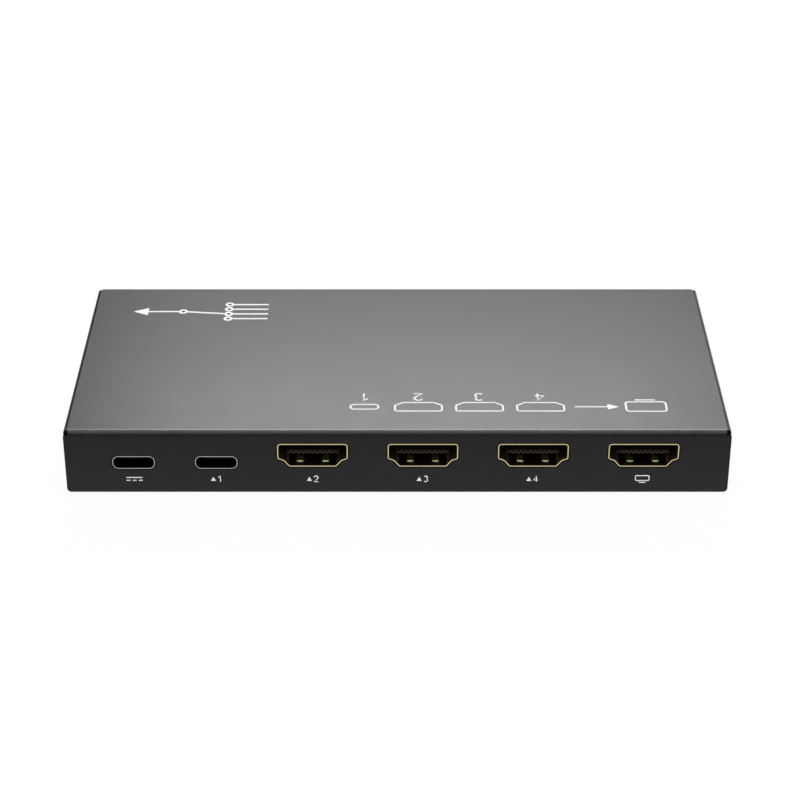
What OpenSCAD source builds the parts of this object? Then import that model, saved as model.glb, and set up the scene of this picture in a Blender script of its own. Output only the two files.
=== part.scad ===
// Desktop video switch box: a folded sheet-metal case with a row of sockets on its ports wall
// and a select button with lights on its control wall. Sizes are in millimetres, +Z is up.
// The ports wall faces -Y, the control wall faces +Y, and the feet stand on z = 0.

/* [Case] */
// Width of the case along its row of sockets
case_w = 140; // [126:1:170]
// Depth of the case from the ports wall to the control wall
case_d = 65.8; // [60:0.1:90]
// Height of the case without its feet
case_h = 14.8; // [14.2:0.1:20]
// Thickness of the cover's sheet
sheet = 0.6; // [0.5:0.05:0.8]
// Inner radius of the cover's folds
fold_r = 0.15; // [0.1:0.05:0.4]
// Gap between a folded end wall and the edge of a side wall
seam = 0.35; // [0.1:0.05:0.5]
// Width of the relief notch that parts an end fold from a side fold
relief_w = 0.3; // [0.1:0.05:0.6]
// Drop from the foot of a fold to the shoulders of an end wall
shoulder_drop = 0.1; // [0.05:0.05:0.3]
// Radius of the shoulders of an end wall
shoulder_r = 0.4; // [0.2:0.1:0.8]
// Radius of the lower corners of an end wall
corner_r = 0.9; // [0.3:0.1:1.5]

/* [Base] */
// Thickness of the bottom plate
plate_t = 1; // [0.8:0.1:1.4]
// Gap between the bottom plate and the walls around it
plate_gap = 0.2; // [0.1:0.05:0.5]
// Radius of the bottom plate's corners
plate_r = 1.2; // [0.5:0.1:3]
// Width of each fixing tab folded in from a side wall
tab_w = 8; // [6:0.5:12]
// Reach of a fixing tab from the outside of its wall
tab_reach = 7.5; // [7:0.1:9]
// Slots beside and above a fixing tab
tab_slot = 0.5; // [0.3:0.1:1]
// Distance of the fixing tabs from the middle of the case
tab_y = 14; // [8:0.5:18]
// Distance of the case screws from the outside of the side walls
case_screw_inset = 4.5; // [4:0.1:5]
// Length of a case screw under its head
case_screw_l = 3.2; // [2.6:0.1:3.6]
// Radius of a rubber foot
foot_r = 4; // [3:0.5:5]
// Height of a rubber foot
foot_h = 1.5; // [1.3:0.1:3]
// Rounding of a rubber foot's lower edge
foot_edge = 0.5; // [0.2:0.1:0.8]
// Distance of the feet from the side walls
foot_inset_x = 12; // [11:0.5:30]
// Distance of the feet from the end walls
foot_inset_y = 11; // [9:0.5:13]

/* [Fasteners] */
// Radius of the screw threads
screw_r = 1.25; // [1:0.05:1.3]
// Radius of the screw heads
head_r = 2.3; // [2:0.1:2.5]
// Height of a case screw's flat head
case_head_h = 0.9; // [0.7:0.1:1.1]
// Height of a board screw's pan head
board_head_h = 1.5; // [1:0.1:2]
// Length of a board screw under its head
board_screw_l = 4; // [3:0.1:4.5]
// Width of the cross recess in a screw head
recess_w = 0.6; // [0.4:0.1:0.8]
// Clearance of a screw in a plain hole
screw_gap = 0.2; // [0.1:0.05:0.3]
// Radius of a board standoff
standoff_r = 2.25; // [2.1:0.05:3]
// Radius of the spigot that holds a standoff in the bottom plate
spigot_r = 1.7; // [1.6:0.05:2]
// Clearance of a pressed or threaded fit
press_gap = 0.01; // [0.01:0.01:0.02]

/* [Circuit board] */
// Thickness of the circuit board
board_t = 1.6; // [1:0.1:2]
// Height of the standoffs above the bottom plate
standoff_h = 2.9; // [2.6:0.1:3.5]
// Gap between the board and the side walls
board_side_gap = 1.8; // [0.5:0.1:2.2]
// Gap between the board and the ports wall
board_rear_gap = 0.6; // [0.3:0.1:1]
// Gap between the board and the control wall
board_front_gap = 3; // [2.6:0.1:4]
// Distance of the board screws from the outside of the side walls
standoff_inset_x = 6; // [5.8:0.1:6.4]
// Distance of the board screws from the outside of the end walls
standoff_inset_y = 7; // [6.8:0.1:8]

/* [Socket row] */
// Distance from the power end of the case to the first socket's share of the row
row_start = 5.75; // [5.6:0.05:7]
// Distance from the last socket's share of the row to the output end of the case
row_end = 6.6; // [5.6:0.05:8]
// Width of the plug that an oval socket leaves room for
oval_plug_w = 12; // [11:0.1:13]
// Width of the plug that a video socket leaves room for
video_plug_w = 17.8; // [17:0.1:19]

/* [Video sockets] */
// Width of a video socket's shell
video_w = 14.8; // [14.4:0.1:15.4]
// Height of a video socket's shell
video_h = 5.55; // [5.3:0.05:6]
// Width of the flat underside of the shell
video_base_w = 9.9; // [9.4:0.1:10.6]
// Width of the shell at the knee above its slanted sides
video_knee_w = 12.2; // [11.8:0.1:12.8]
// Height of the knee
video_knee_h = 1.4; // [1.2:0.1:1.5]
// Height of the shoulder where the upright sides begin
video_side_h = 1.9; // [1.8:0.1:2.3]
// Depth of the shell behind its mouth
video_depth = 11.5; // [11:0.1:13]
// Height of the shell above the board
video_lift = 0.75; // [0.4:0.05:0.8]
// Thickness of the shell
video_t = 0.2; // [0.17:0.01:0.3]
// Width of the tongue inside a video socket
video_tongue_w = 11; // [10.4:0.1:11.4]
// Thickness of the tongue
video_tongue_t = 0.6; // [0.5:0.05:1.2]
// Height of the middle of the tongue above the underside of the shell
video_tongue_z = 2.8; // [2.6:0.1:3]
// Contacts on the upper face of the tongue, with one fewer below
video_contacts = 10; // [8:1:10]
// Distance between neighbouring contacts on one face
video_contact_pitch = 1; // [0.9:0.05:1.05]
// Distance of the spring fingers from the middle of the socket
finger_x = 2.68; // [2:0.01:3]
// Width of a spring finger
finger_w = 1.4; // [1:0.05:1.5]
// Rise of a spring finger's crest above the wall that it is cut from
finger_rise = 0.65; // [0.5:0.05:0.8]

/* [Oval sockets] */
// Width of an oval socket's shell
oval_w = 8.95; // [8.7:0.05:9.4]
// Height of an oval socket's shell
oval_h = 3.1; // [3:0.05:3.5]
// Radius of the shell's corners
oval_r = 1.3; // [1:0.05:1.4]
// Thickness of the shell
oval_t = 0.17; // [0.15:0.01:0.3]
// Height of the shell above the board
oval_lift = 0.2; // [0:0.05:0.5]
// Depth of the shell behind its mouth
oval_depth = 7.3; // [7:0.1:9]
// Width of the tongue inside an oval socket
oval_tongue_w = 6.7; // [6.4:0.1:7]
// Thickness of the tongue
oval_tongue_t = 0.7; // [0.6:0.1:0.9]
// Contacts on each face of the tongue
oval_contacts = 12; // [8:2:12]
// Distance between neighbouring contacts on one face
oval_contact_pitch = 0.5; // [0.45:0.01:0.52]

/* [Socket fit] */
// Distance of the socket mouths behind the outer face of the ports wall
mouth_recess = 0.1; // [0:0.05:0.4]
// Gap between a socket's shell and its cut-out in the ports wall
cutout_gap = 0.25; // [0.15:0.05:0.4]
// Width of a socket's solder legs
leg_w = 1.2; // [0.8:0.1:1.6]
// Clearance of a solder leg in its slot
leg_gap = 0.15; // [0.1:0.05:0.25]
// Length of a solder leg below the board
leg_out = 0.5; // [0.2:0.1:0.8]
// Clearance of an insulator in its shell, and of a contact in its groove
insert_gap = 0.02; // [0.01:0.01:0.05]
// Thickness of a contact
contact_t = 0.15; // [0.12:0.01:0.2]

/* [Circuit parts] */
// Width of the square chip that switches the signals
chip_w = 14; // [11:0.5:16]
// Height of the switching chip
chip_h = 1.2; // [1:0.1:1.6]
// Leads along each side of the switching chip
chip_leads = 20; // [14:1:20]
// Distance between neighbouring leads of the switching chip and the controller
lead_pitch = 0.6; // [0.5:0.05:0.6]
// Width of the controller chip
controller_w = 4.4; // [4:0.1:5]
// Length of the controller chip
controller_d = 6.5; // [6.4:0.1:8]
// Leads along each side of the controller chip
controller_leads = 10; // [6:1:10]
// Width of a regulator
regulator_w = 1.7; // [1.5:0.1:2]
// Length of a regulator
regulator_d = 2.9; // [2.8:0.1:3.2]
// Distance between neighbouring leads of a regulator
regulator_pitch = 0.95; // [0.9:0.01:1]
// Height of the controller and the regulators
small_chip_h = 1.1; // [0.9:0.1:1.4]
// Width of a coil
coil_w = 4; // [3:0.1:5]
// Height of a coil
coil_h = 2; // [1.5:0.1:3]
// Radius of a buffer capacitor
can_r = 2.5; // [2:0.1:3]
// Height of a buffer capacitor
can_h = 5.4; // [4:0.1:6]
// Width of the square base of a buffer capacitor
can_base_w = 5.3; // [4.2:0.1:6.2]
// Length of the clock crystal
crystal_w = 5; // [3:0.1:6]
// Width of the clock crystal
crystal_d = 3.2; // [2:0.1:4]
// Height of the clock crystal
crystal_h = 0.9; // [0.7:0.1:1.2]
// Distance of a coil and its capacitor beside the middle of their oval socket
coil_shift = 3; // [0:0.5:4]
// Distance from a coil to its regulator
regulator_shift = 6; // [5:0.5:8]
// Distance from the switching chip to the clock crystal
crystal_shift = 14; // [13:0.5:18]
// Distance of the coils from the middle of the case towards the ports wall
coil_row = 6; // [4:0.5:8]
// Distance of the capacitors from the middle of the case towards the control wall
can_row = 4; // [3:0.5:8]
// Distance of the switching chip from the middle of the case towards the ports wall
chip_row = 2; // [0:0.5:4]
// Distance of the controller and the crystal from the middle of the case towards the control wall
control_row = 6; // [4:0.5:10]

/* [Select button] */
// Distance of the select button from the power end of the case
button_inset = 22; // [17:0.5:32]
// Radius of the button
button_r = 3; // [2.5:0.1:3.5]
// Distance that the button stands out of the control wall
button_out = 1; // [0.6:0.1:2]
// Travel of the button
button_travel = 0.3; // [0.2:0.05:0.35]
// Clearance of a sliding piece in its hole
slide_gap = 0.08; // [0.04:0.01:0.1]
// Width and height of the push switch
switch_w = 6; // [5.8:0.1:6.4]
// Depth of the push switch's housing
switch_d = 3; // [2.8:0.1:4]
// Radius of the switch's plunger
plunger_r = 1.7; // [1.4:0.1:1.8]
// Distance that the plunger stands out of the switch
plunger_out = 1; // [0.7:0.1:1.4]

/* [Lights and remote eye] */
// Height of the button, lights and remote eye above the board
axis_h = 3.2; // [3.1:0.1:3.6]
// Distance from the select button to the first input light
light_start = 24; // [12:0.5:28]
// Distance between neighbouring input lights
light_pitch = 12; // [8:0.5:14]
// Radius of a light pipe
pipe_r = 1.1; // [0.9:0.05:1.4]
// Distance that a light pipe stands out of the control wall
pipe_out = 0.3; // [0.1:0.1:0.6]
// Distance of the remote eye from the output end of the case
eye_inset = 20; // [17:0.5:24]
// Distance from the remote eye to the power light
power_light_gap = 14; // [8:0.5:16]
// Radius of the remote eye's window
window_r = 2.5; // [2:0.1:3]

/* [Hidden] */
$fn = 64;
over = 1;

// Heights, from the table up
floor_z = foot_h;
plate_top = floor_z + plate_t;
board_z = plate_top + standoff_h;
board_top = board_z + board_t;
cover_top = floor_z + case_h;
axis_z = board_top + axis_h;
video_z = board_top + video_lift;
oval_z = board_top + oval_lift;

// Faces along Y: the origin is in the middle of the whole depth, with the button
rear_y = -(case_d + button_out) / 2;
front_y = rear_y + case_d;
mid_y = (rear_y + front_y) / 2;
mouth_y = rear_y + mouth_recess;
board_rear = rear_y + sheet + board_rear_gap;
board_front = front_y - sheet - board_front_gap;
wall_back = front_y - sheet;

// Places that pieces share
bend_r = sheet + fold_r;
side_x = case_w / 2;
plate_w = case_w - 2 * sheet - 2 * plate_gap;
plate_d = case_d - 2 * sheet - 2 * plate_gap;
window_w = tab_w + 2 * tab_slot;
ear_w = window_w - 2 * plate_gap;
four_corners = [[-1, -1], [1, -1], [1, 1], [-1, 1]];
foot_places = [for (c = four_corners)
    [c.x * (side_x - foot_inset_x), mid_y + c.y * (case_d / 2 - foot_inset_y)]];
standoff_places = [for (c = four_corners)
    [c.x * (side_x - standoff_inset_x), mid_y + c.y * (case_d / 2 - standoff_inset_y)]];
case_screw_places = [for (c = four_corners)
    [c.x * (side_x - case_screw_inset), mid_y + c.y * tab_y]];
plug_gap = (case_w - row_start - row_end - 2 * oval_plug_w - 4 * video_plug_w) / 6;
oval_pitch = oval_plug_w + plug_gap;
video_pitch = video_plug_w + plug_gap;
oval_places = [for (i = [0:1]) row_start - side_x + (i + 0.5) * oval_pitch];
video_places = [for (i = [0:3]) row_start - side_x + 2 * oval_pitch + (i + 0.5) * video_pitch];
coil_places = [for (x = oval_places) x + coil_shift];
chip_x = (video_places[1] + video_places[2]) / 2;
button_x = button_inset - side_x;
eye_x = side_x - eye_inset;
light_places = concat([for (i = [0:3]) button_x + light_start + i * light_pitch], [eye_x - power_light_gap]);

// Outline of a video socket, counter-clockwise from the left end of its flat underside
video_points = [
    [-video_base_w / 2, 0],
    [video_base_w / 2, 0],
    [video_knee_w / 2, video_knee_h],
    [video_w / 2, video_side_h],
    [video_w / 2, video_h],
    [-video_w / 2, video_h],
    [-video_w / 2, video_side_h],
    [-video_knee_w / 2, video_knee_h]
];
video_radii = [0.6, 0.6, 0.5, 0.5, 0.7, 0.7, 0.5, 0.5];

// Socket insides, measured inwards from the mouth
video_tongue_y = 1.2;
video_block_y = 7;
video_rear_t = 1;
video_leg_y = [4.5, 9.5];
finger_tip = 0.955;
finger_crest = 1.2;
finger_root = 6;
finger_drop = 0.245;
finger_slot = 0.25;
finger_tip_r = 1.6;
oval_tongue_y = 2;
oval_block_y = 4.5;
oval_rear_t = 0.8;
oval_leg_y = [2.8, 6.2];
oval_leg_half = oval_w / 2 + 0.05;
contact_bury = contact_t / 2;
contact_foot = 0.9;
video_contact_y = video_tongue_y + 0.25;
oval_contact_y = oval_tongue_y + 0.6;
video_contact_w = 0.34;
oval_contact_w = 0.24;
tongue_nose = 0.4;
lead_gap = 0.3;

// Edges of the parts on the board
coil_edge_r = 0.6;
coil_dish = 0.1;
can_base_h = 0.8;
can_base_r = 0.5;
crystal_r = 0.4;
chip_lead_l = 0.8;
chip_lead_t = 0.2;
chip_stand = 0.1;

// Push switch, with its front face at the edge of the board
switch_front = board_front - 0.2;
frame_t = 0.4;
housing_front = switch_front - frame_t;
plunger_tip = switch_front + plunger_out;
plunger_collar_r = plunger_r + 0.4;
plunger_collar_t = 0.6;
collar_back = housing_front - plunger_collar_t;
dome_t = 0.12;
dome_rise = button_travel + 0.2;
well_depth = plunger_collar_t + dome_rise + dome_t;
stem_r = button_r / 2;
button_collar_r = button_r + 0.8;
button_collar_t = 0.8;
collar_front = wall_back - 0.05;

// Light pipes, the lights behind them and the remote eye
pipe_collar_r = pipe_r + 0.6;
pipe_collar_t = 0.6;
window_rim_r = window_r + 0.8;
window_rim_t = 0.8;
led_w = 3;
led_d = 3.4;
led_h = axis_h + 1.5;
eye_w = 5.6;
eye_d = 3.6;
eye_h = axis_h + 3;
eye_lens_r = 2;
eye_gap = 0.3;
eye_front = wall_back - window_rim_t - eye_gap - eye_lens_r;
eye_pins = [-1.8, 0, 1.8];
eye_pin_w = 0.5;
eye_pin_y = eye_front - eye_d / 2;

// Unit vector along v
function unit(v) = v / norm(v);
// Neighbour of corner i in a closed outline, k corners on
function corner(pts, i, k) = pts[(i + k + len(pts)) % len(pts)];
// Outward normal of the edge from p to q of a counter-clockwise outline
function outward(p, q) = unit([q.y - p.y, p.x - q.x]);
// Whether corner i bulges out (1) or in (-1)
function bulge(pts, i) = sign(cross(pts[i] - corner(pts, i, -1), corner(pts, i, 1) - pts[i]));
// Outline moved outwards by d with its corners sharp
function grown(pts, d) = [
    for (i = [0:len(pts) - 1])
        let (a = outward(corner(pts, i, -1), pts[i]), b = outward(pts[i], corner(pts, i, 1)))
            pts[i] + d * (a + b) / (1 + a * b)
];
// Corner radii that keep a grown outline parallel to the first one
function grown_radii(pts, radii, d) = [
    for (i = [0:len(pts) - 1]) max(0.05, radii[i] + d * bulge(pts, i))
];
// Arc about a centre from one arm to another the short way round
function arc(centre, from, to, steps = 5) =
    let (a = atan2(from.y, from.x), sweep = (atan2(to.y, to.x) - a + 540) % 360 - 180)
        [for (k = [0:steps]) centre + norm(from) * [cos(a + sweep * k / steps), sin(a + sweep * k / steps)]];
// Outline with each corner rounded to its own radius
function rounded(pts, radii) = [
    for (i = [0:len(pts) - 1])
        let (
            u = unit(corner(pts, i, -1) - pts[i]),
            v = unit(corner(pts, i, 1) - pts[i]),
            half = acos(u * v) / 2,
            reach = radii[i] / tan(half),
            centre = pts[i] + unit(u + v) * radii[i] / sin(half)
        )
            for (p = arc(centre, pts[i] + u * reach - centre, pts[i] + v * reach - centre)) p
];

// Stands a drawing in X and Z up and gives it a depth along +Y
module deep(depth) {
    translate([0, depth, 0])
        rotate([90, 0, 0])
            linear_extrude(depth)
                children();
}

// Stands a drawing in Y and Z up and gives it a width along X, about the middle
module wide(width) {
    translate([-width / 2, 0, 0])
        rotate([90, 0, 90])
            linear_extrude(width)
                children();
}

// Cylinder along Y from y to y + length
module pin_y(r, y, length) {
    translate([0, y + length, 0])
        rotate([90, 0, 0])
            cylinder(r = r, h = length);
}

// Sheet with four round corners
module rounded_sheet(w, d, r) {
    square([w - 2 * r, d], center = true);
    square([w, d - 2 * r], center = true);
    for (c = four_corners)
        translate([c.x * (w / 2 - r), c.y * (d / 2 - r)])
            circle(r);
}

// Upright plate on the base line with two upper corners of one radius and two lower ones of another
module wall_face(w, h, r_low, r_high) {
    polygon(rounded([[-w / 2, 0], [w / 2, 0], [w / 2, h], [-w / 2, h]], [r_low, r_low, r_high, r_high]));
}

// Rectangle on the base line whose upper corners are round
module arch(span, height, r) {
    translate([-span / 2, 0])
        square([span, height - r]);
    translate([-span / 2 + r, 0])
        square([span - 2 * r, height]);
    for (side = [-1, 1])
        translate([side * (span / 2 - r), height - r])
            circle(r);
}

// Section of a sheet folded down along two edges
module folded_section(span, height) {
    difference() {
        arch(span, height, bend_r);
        translate([0, -over])
            arch(span - 2 * sheet, height + over - sheet, fold_r);
    }
}

// Outline of a video socket, grown by g
module video_outline(g) {
    polygon(rounded(grown(video_points, g), grown_radii(video_points, video_radii, g)));
}

// Outline of an oval socket on the base line, grown by g
module oval_outline(g) {
    translate([0, oval_h / 2])
        rounded_sheet(oval_w + 2 * g, oval_h + 2 * g, oval_r + g);
}

// Screw standing on its head's underside at z = 0, with its thread pointing up
module screw(length, head_h) {
    cylinder(r = screw_r, h = length);
    difference() {
        translate([0, 0, -head_h])
            cylinder(r = head_r, h = head_h);
        for (turn = [0, 90])
            rotate(turn)
                translate([0, 0, -head_h])
                    cube([head_r * 1.2, recess_w, head_h], center = true);
    }
}

// Flat bottom of the case, within the cover's four walls, with ears that fill the windows under the tabs
module bottom_plate() {
    color("#2b2c2e")
        difference() {
            translate([0, mid_y, floor_z])
                linear_extrude(plate_t) {
                    rounded_sheet(plate_w, plate_d, plate_r);
                    for (side = [-1, 1])
                        translate([0, side * tab_y])
                            square([case_w - 2 * plate_gap, ear_w], center = true);
                }
            for (p = case_screw_places)
                translate([p.x, p.y, floor_z - over])
                    cylinder(r = screw_r + screw_gap, h = plate_t + 2 * over);
            for (p = standoff_places)
                translate([p.x, p.y, floor_z - over])
                    cylinder(r = spigot_r + press_gap, h = plate_t + 2 * over);
        }
}

// Round rubber foot stuck under the bottom plate
module rubber_foot(place) {
    color("#1a1a1b")
        translate([place.x, place.y, 0])
            rotate_extrude()
                difference() {
                    square([foot_r, foot_h]);
                    difference() {
                        translate([foot_r - foot_edge, -over])
                            square([foot_edge + over, foot_edge + over]);
                        translate([foot_r - foot_edge, foot_edge])
                            circle(foot_edge);
                    }
                }
}

// Threaded spacers pressed into the bottom plate
module board_standoffs() {
    color("#c8c9cb")
        for (p = standoff_places)
            translate([p.x, p.y, 0])
                difference() {
                    union() {
                        translate([0, 0, floor_z])
                            cylinder(r = spigot_r, h = plate_t + standoff_h);
                        translate([0, 0, plate_top])
                            cylinder(r = standoff_r, h = standoff_h);
                    }
                    translate([0, 0, floor_z - over])
                        cylinder(r = screw_r + press_gap, h = plate_t + standoff_h + 2 * over);
                }
}

// Slots in the board for one socket's solder legs
module leg_slots(x, half, t, places) {
    for (side = [-1, 1], y = places)
        translate([x + side * (half - t / 2), mouth_y + y, board_z + board_t / 2])
            cube([t + 2 * leg_gap, leg_w + 2 * leg_gap, board_t + 2 * over], center = true);
}

// Green circuit board with holes for the screws, the socket legs and the remote eye's pins
module circuit_board() {
    color("#1f5a37")
        difference() {
            translate([-side_x + sheet + board_side_gap, board_rear, board_z])
                cube([case_w - 2 * sheet - 2 * board_side_gap, board_front - board_rear, board_t]);
            for (p = standoff_places)
                translate([p.x, p.y, board_z - over])
                    cylinder(r = screw_r + screw_gap, h = board_t + 2 * over);
            for (x = video_places)
                leg_slots(x, video_w / 2, video_t, video_leg_y);
            for (x = oval_places)
                leg_slots(x, oval_leg_half, oval_t, oval_leg_y);
            for (x = eye_pins)
                translate([eye_x + x, eye_pin_y, board_z - over])
                    cylinder(r = eye_pin_w, h = board_t + 2 * over);
        }
}

// Pan-head screws that hold the board on its standoffs
module board_screws() {
    color("#d2d3d5")
        for (p = standoff_places)
            translate([p.x, p.y, board_top])
                mirror([0, 0, 1])
                    screw(board_screw_l, board_head_h);
}

// Solder legs of a socket shell, from height z down through the board
module legs(half, t, places, z, lift) {
    drop = lift + board_t + leg_out;
    for (side = [-1, 1], y = places)
        translate([side * (half - t / 2), y, (z - drop) / 2])
            cube([t, leg_w, z + drop], center = true);
}

// Spring finger cut from the shell's lower wall: a strip that leans in to a crest and ends in a round tip
module finger() {
    intersection() {
        wide(finger_w)
            polygon(rounded([
                [finger_tip, finger_rise - finger_drop],
                [finger_crest, finger_rise],
                [finger_root, 0],
                [finger_root + over, 0],
                [finger_root + over, video_t],
                [finger_root, video_t],
                [finger_crest, finger_rise + video_t],
                [finger_tip, finger_rise - finger_drop + video_t]
            ], [0.05, 0.05, 0.1, 0.1, 0.1, 0.1, 0.15, 0.05]));
        linear_extrude(video_h)
            union() {
                translate([-finger_w / 2, finger_tip + finger_tip_r])
                    square([finger_w, finger_root + 2 * over]);
                translate([0, finger_tip + finger_tip_r])
                    circle(finger_tip_r);
            }
    }
}

// Window around a spring finger
module finger_window() {
    translate([-finger_w / 2 - finger_slot, finger_tip - finger_slot, -over])
        cube([finger_w + 2 * finger_slot, finger_root - finger_tip + finger_slot, video_t + 2 * over]);
}

// Places the lower and upper pair of spring fingers
module at_fingers() {
    for (side = [-1, 1]) {
        translate([side * finger_x, 0, 0])
            children();
        translate([side * finger_x, 0, video_h])
            mirror([0, 0, 1])
                children();
    }
}

// Folded metal shell of a video socket
module video_shell(x) {
    color("#cfc39a")
        translate([x, mouth_y, video_z]) {
            difference() {
                deep(video_depth)
                    difference() {
                        video_outline(0);
                        video_outline(-video_t);
                    }
                at_fingers()
                    finger_window();
            }
            at_fingers()
                finger();
            legs(video_w / 2, video_t, video_leg_y, video_side_h + over, video_lift);
        }
}

// One contact: a strip along the tongue that turns down behind the block and ends in a solder foot
module contact(width, from, turn, z, lift, g = 0) {
    wide(width + 2 * g)
        union() {
            translate([from - g, z - contact_t / 2 - g])
                square([turn - from + 2 * g, contact_t + 2 * g]);
            translate([turn - contact_t - g, -lift])
                square([contact_t + 2 * g, z + lift + contact_t / 2 + g]);
            translate([turn - contact_t, -lift])
                square([contact_foot, contact_t]);
        }
}

// Both rows of contacts of a video socket, grown by g to cut their grooves
module video_contact_rows(g) {
    turn = video_depth + video_rear_t + lead_gap;
    rise = video_tongue_t / 2 - contact_bury + contact_t / 2;
    for (row = [1, -1]) {
        count = video_contacts - (row < 0 ? 1 : 0);
        for (i = [0:count - 1])
            translate([(i - (count - 1) / 2) * video_contact_pitch, 0, 0])
                contact(video_contact_w, video_contact_y, turn, video_tongue_z + row * rise, video_lift, g);
    }
}

// Nose and body of a tongue, seen from the side
module tongue_section(from, to, z, t) {
    polygon([
        [from, z - t / 4], [from + tongue_nose, z - t / 2], [to, z - t / 2],
        [to, z + t / 2], [from + tongue_nose, z + t / 2], [from, z + t / 4]
    ]);
}

// Moulded insulator of a video socket: a block that fills the back of the shell and a thin tongue
module video_tongue(x) {
    color("#161617")
        translate([x, mouth_y, video_z])
            difference() {
                union() {
                    wide(video_tongue_w)
                        tongue_section(video_tongue_y, video_block_y + over, video_tongue_z, video_tongue_t);
                    translate([0, video_block_y, 0])
                        deep(video_depth - video_block_y)
                            video_outline(-video_t - insert_gap);
                    translate([-video_tongue_w / 2, video_depth, -video_lift])
                        cube([video_tongue_w, video_rear_t, video_lift + video_h - video_t]);
                }
                video_contact_rows(insert_gap);
            }
}

// Contacts of a video socket
module video_contact_set(x) {
    color("#c9b26a")
        translate([x, mouth_y, video_z])
            video_contact_rows(0);
}

// Drawn metal shell of an oval socket
module oval_shell(x) {
    color("#b9babc")
        translate([x, mouth_y, oval_z]) {
            deep(oval_depth)
                difference() {
                    oval_outline(0);
                    oval_outline(-oval_t);
                }
            legs(oval_leg_half, oval_t, oval_leg_y, oval_h / 2 + 0.3, oval_lift);
        }
}

// Both rows of contacts of an oval socket, grown by g to cut their grooves
module oval_contact_rows(g) {
    rise = oval_tongue_t / 2 - contact_bury + contact_t / 2;
    for (row = [1, -1]) {
        turn = oval_depth + oval_rear_t + lead_gap + (row > 0 ? contact_foot + lead_gap : 0);
        for (i = [0:oval_contacts - 1])
            translate([(i - (oval_contacts - 1) / 2) * oval_contact_pitch, 0, 0])
                contact(oval_contact_w, oval_contact_y, turn, oval_h / 2 + row * rise, oval_lift, g);
    }
}

// Moulded insulator of an oval socket
module oval_tongue(x) {
    color("#161617")
        translate([x, mouth_y, oval_z])
            difference() {
                union() {
                    wide(oval_tongue_w)
                        tongue_section(oval_tongue_y, oval_block_y + over, oval_h / 2, oval_tongue_t);
                    translate([0, oval_block_y, 0])
                        deep(oval_depth - oval_block_y)
                            oval_outline(-oval_t - insert_gap);
                    translate([-oval_tongue_w / 2, oval_depth, -oval_lift])
                        cube([oval_tongue_w, oval_rear_t, oval_lift + oval_h - oval_t]);
                }
                oval_contact_rows(insert_gap);
            }
}

// Contacts of an oval socket
module oval_contact_set(x) {
    color("#c9b26a")
        translate([x, mouth_y, oval_z])
            oval_contact_rows(0);
}

// Chip body on the board with leads along the sides that are named
module chip(w, d, h, leads, pitch, sides) {
    lead_w = pitch / 2;
    translate([-w / 2, -d / 2, chip_stand])
        cube([w, d, h - chip_stand]);
    for (turn = sides)
        rotate(turn)
            for (i = [0:leads - 1]) {
                reach = (turn % 180 == 0 ? w : d) / 2;
                translate([reach - over, (i - (leads - 1) / 2) * pitch - lead_w / 2, h / 2 - chip_lead_t / 2])
                    cube([over + chip_lead_t, lead_w, chip_lead_t]);
                translate([reach, (i - (leads - 1) / 2) * pitch - lead_w / 2, 0])
                    cube([chip_lead_t, lead_w, h / 2]);
                translate([reach, (i - (leads - 1) / 2) * pitch - lead_w / 2, 0])
                    cube([chip_lead_l, lead_w, chip_lead_t]);
            }
}

// Large chip that connects the chosen input to the output
module switch_chip() {
    color("#202124")
        translate([chip_x, mid_y - chip_row, board_top])
            chip(chip_w, chip_w, chip_h, chip_leads, lead_pitch, [0, 90, 180, 270]);
}

// Small chip that reads the button and the remote eye
module controller_chip() {
    color("#202124")
        translate([light_places[1], mid_y + control_row, board_top])
            chip(controller_w, controller_d, small_chip_h, controller_leads, lead_pitch, [0, 180]);
}

// Regulators that feed the chips
module converter_chips() {
    color("#202124")
        for (x = coil_places)
            translate([x + regulator_shift, mid_y - coil_row, board_top])
                chip(regulator_w, regulator_d, small_chip_h, 3, regulator_pitch, [0, 180]);
}

// Shielded coils of the regulators
module power_inductors() {
    color("#4a4b4d")
        for (x = coil_places)
            translate([x, mid_y - coil_row, board_top])
                difference() {
                    linear_extrude(coil_h)
                        rounded_sheet(coil_w, coil_w, coil_edge_r);
                    translate([0, 0, coil_h - coil_dish])
                        cylinder(r = coil_w / 2 - coil_edge_r, h = over);
                }
}

// Round buffer capacitors, each on a square base
module capacitors() {
    color("#b4b6b9")
        for (x = coil_places)
            translate([x, mid_y + can_row, board_top]) {
                linear_extrude(can_base_h)
                    rounded_sheet(can_base_w, can_base_w, can_base_r);
                cylinder(r = can_r, h = can_h);
            }
}

// Metal can of the clock crystal
module crystal() {
    color("#c3c4c6")
        translate([chip_x + crystal_shift, mid_y + control_row, board_top])
            linear_extrude(crystal_h)
                rounded_sheet(crystal_w, crystal_d, crystal_r);
}

// Moulded body of the push switch, with a round well for the dome and the plunger's collar
module switch_housing() {
    color("#18181a")
        translate([button_x, 0, board_top])
            difference() {
                translate([-switch_w / 2, housing_front - switch_d, 0])
                    cube([switch_w, switch_d, switch_w]);
                translate([0, 0, axis_h])
                    pin_y(plunger_collar_r + 0.3, housing_front - well_depth, well_depth + over);
            }
}

// Metal plate that closes the push switch and hooks over its top
module switch_frame() {
    color("#c3c4c6")
        translate([button_x, 0, board_top])
            difference() {
                wide(switch_w)
                    union() {
                        translate([housing_front, 0])
                            square([frame_t, switch_w + frame_t]);
                        translate([housing_front - switch_d / 2, switch_w])
                            square([switch_d / 2 + frame_t, frame_t]);
                    }
                translate([0, 0, axis_h])
                    pin_y(plunger_r + slide_gap, housing_front - over, frame_t + 2 * over);
            }
}

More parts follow.
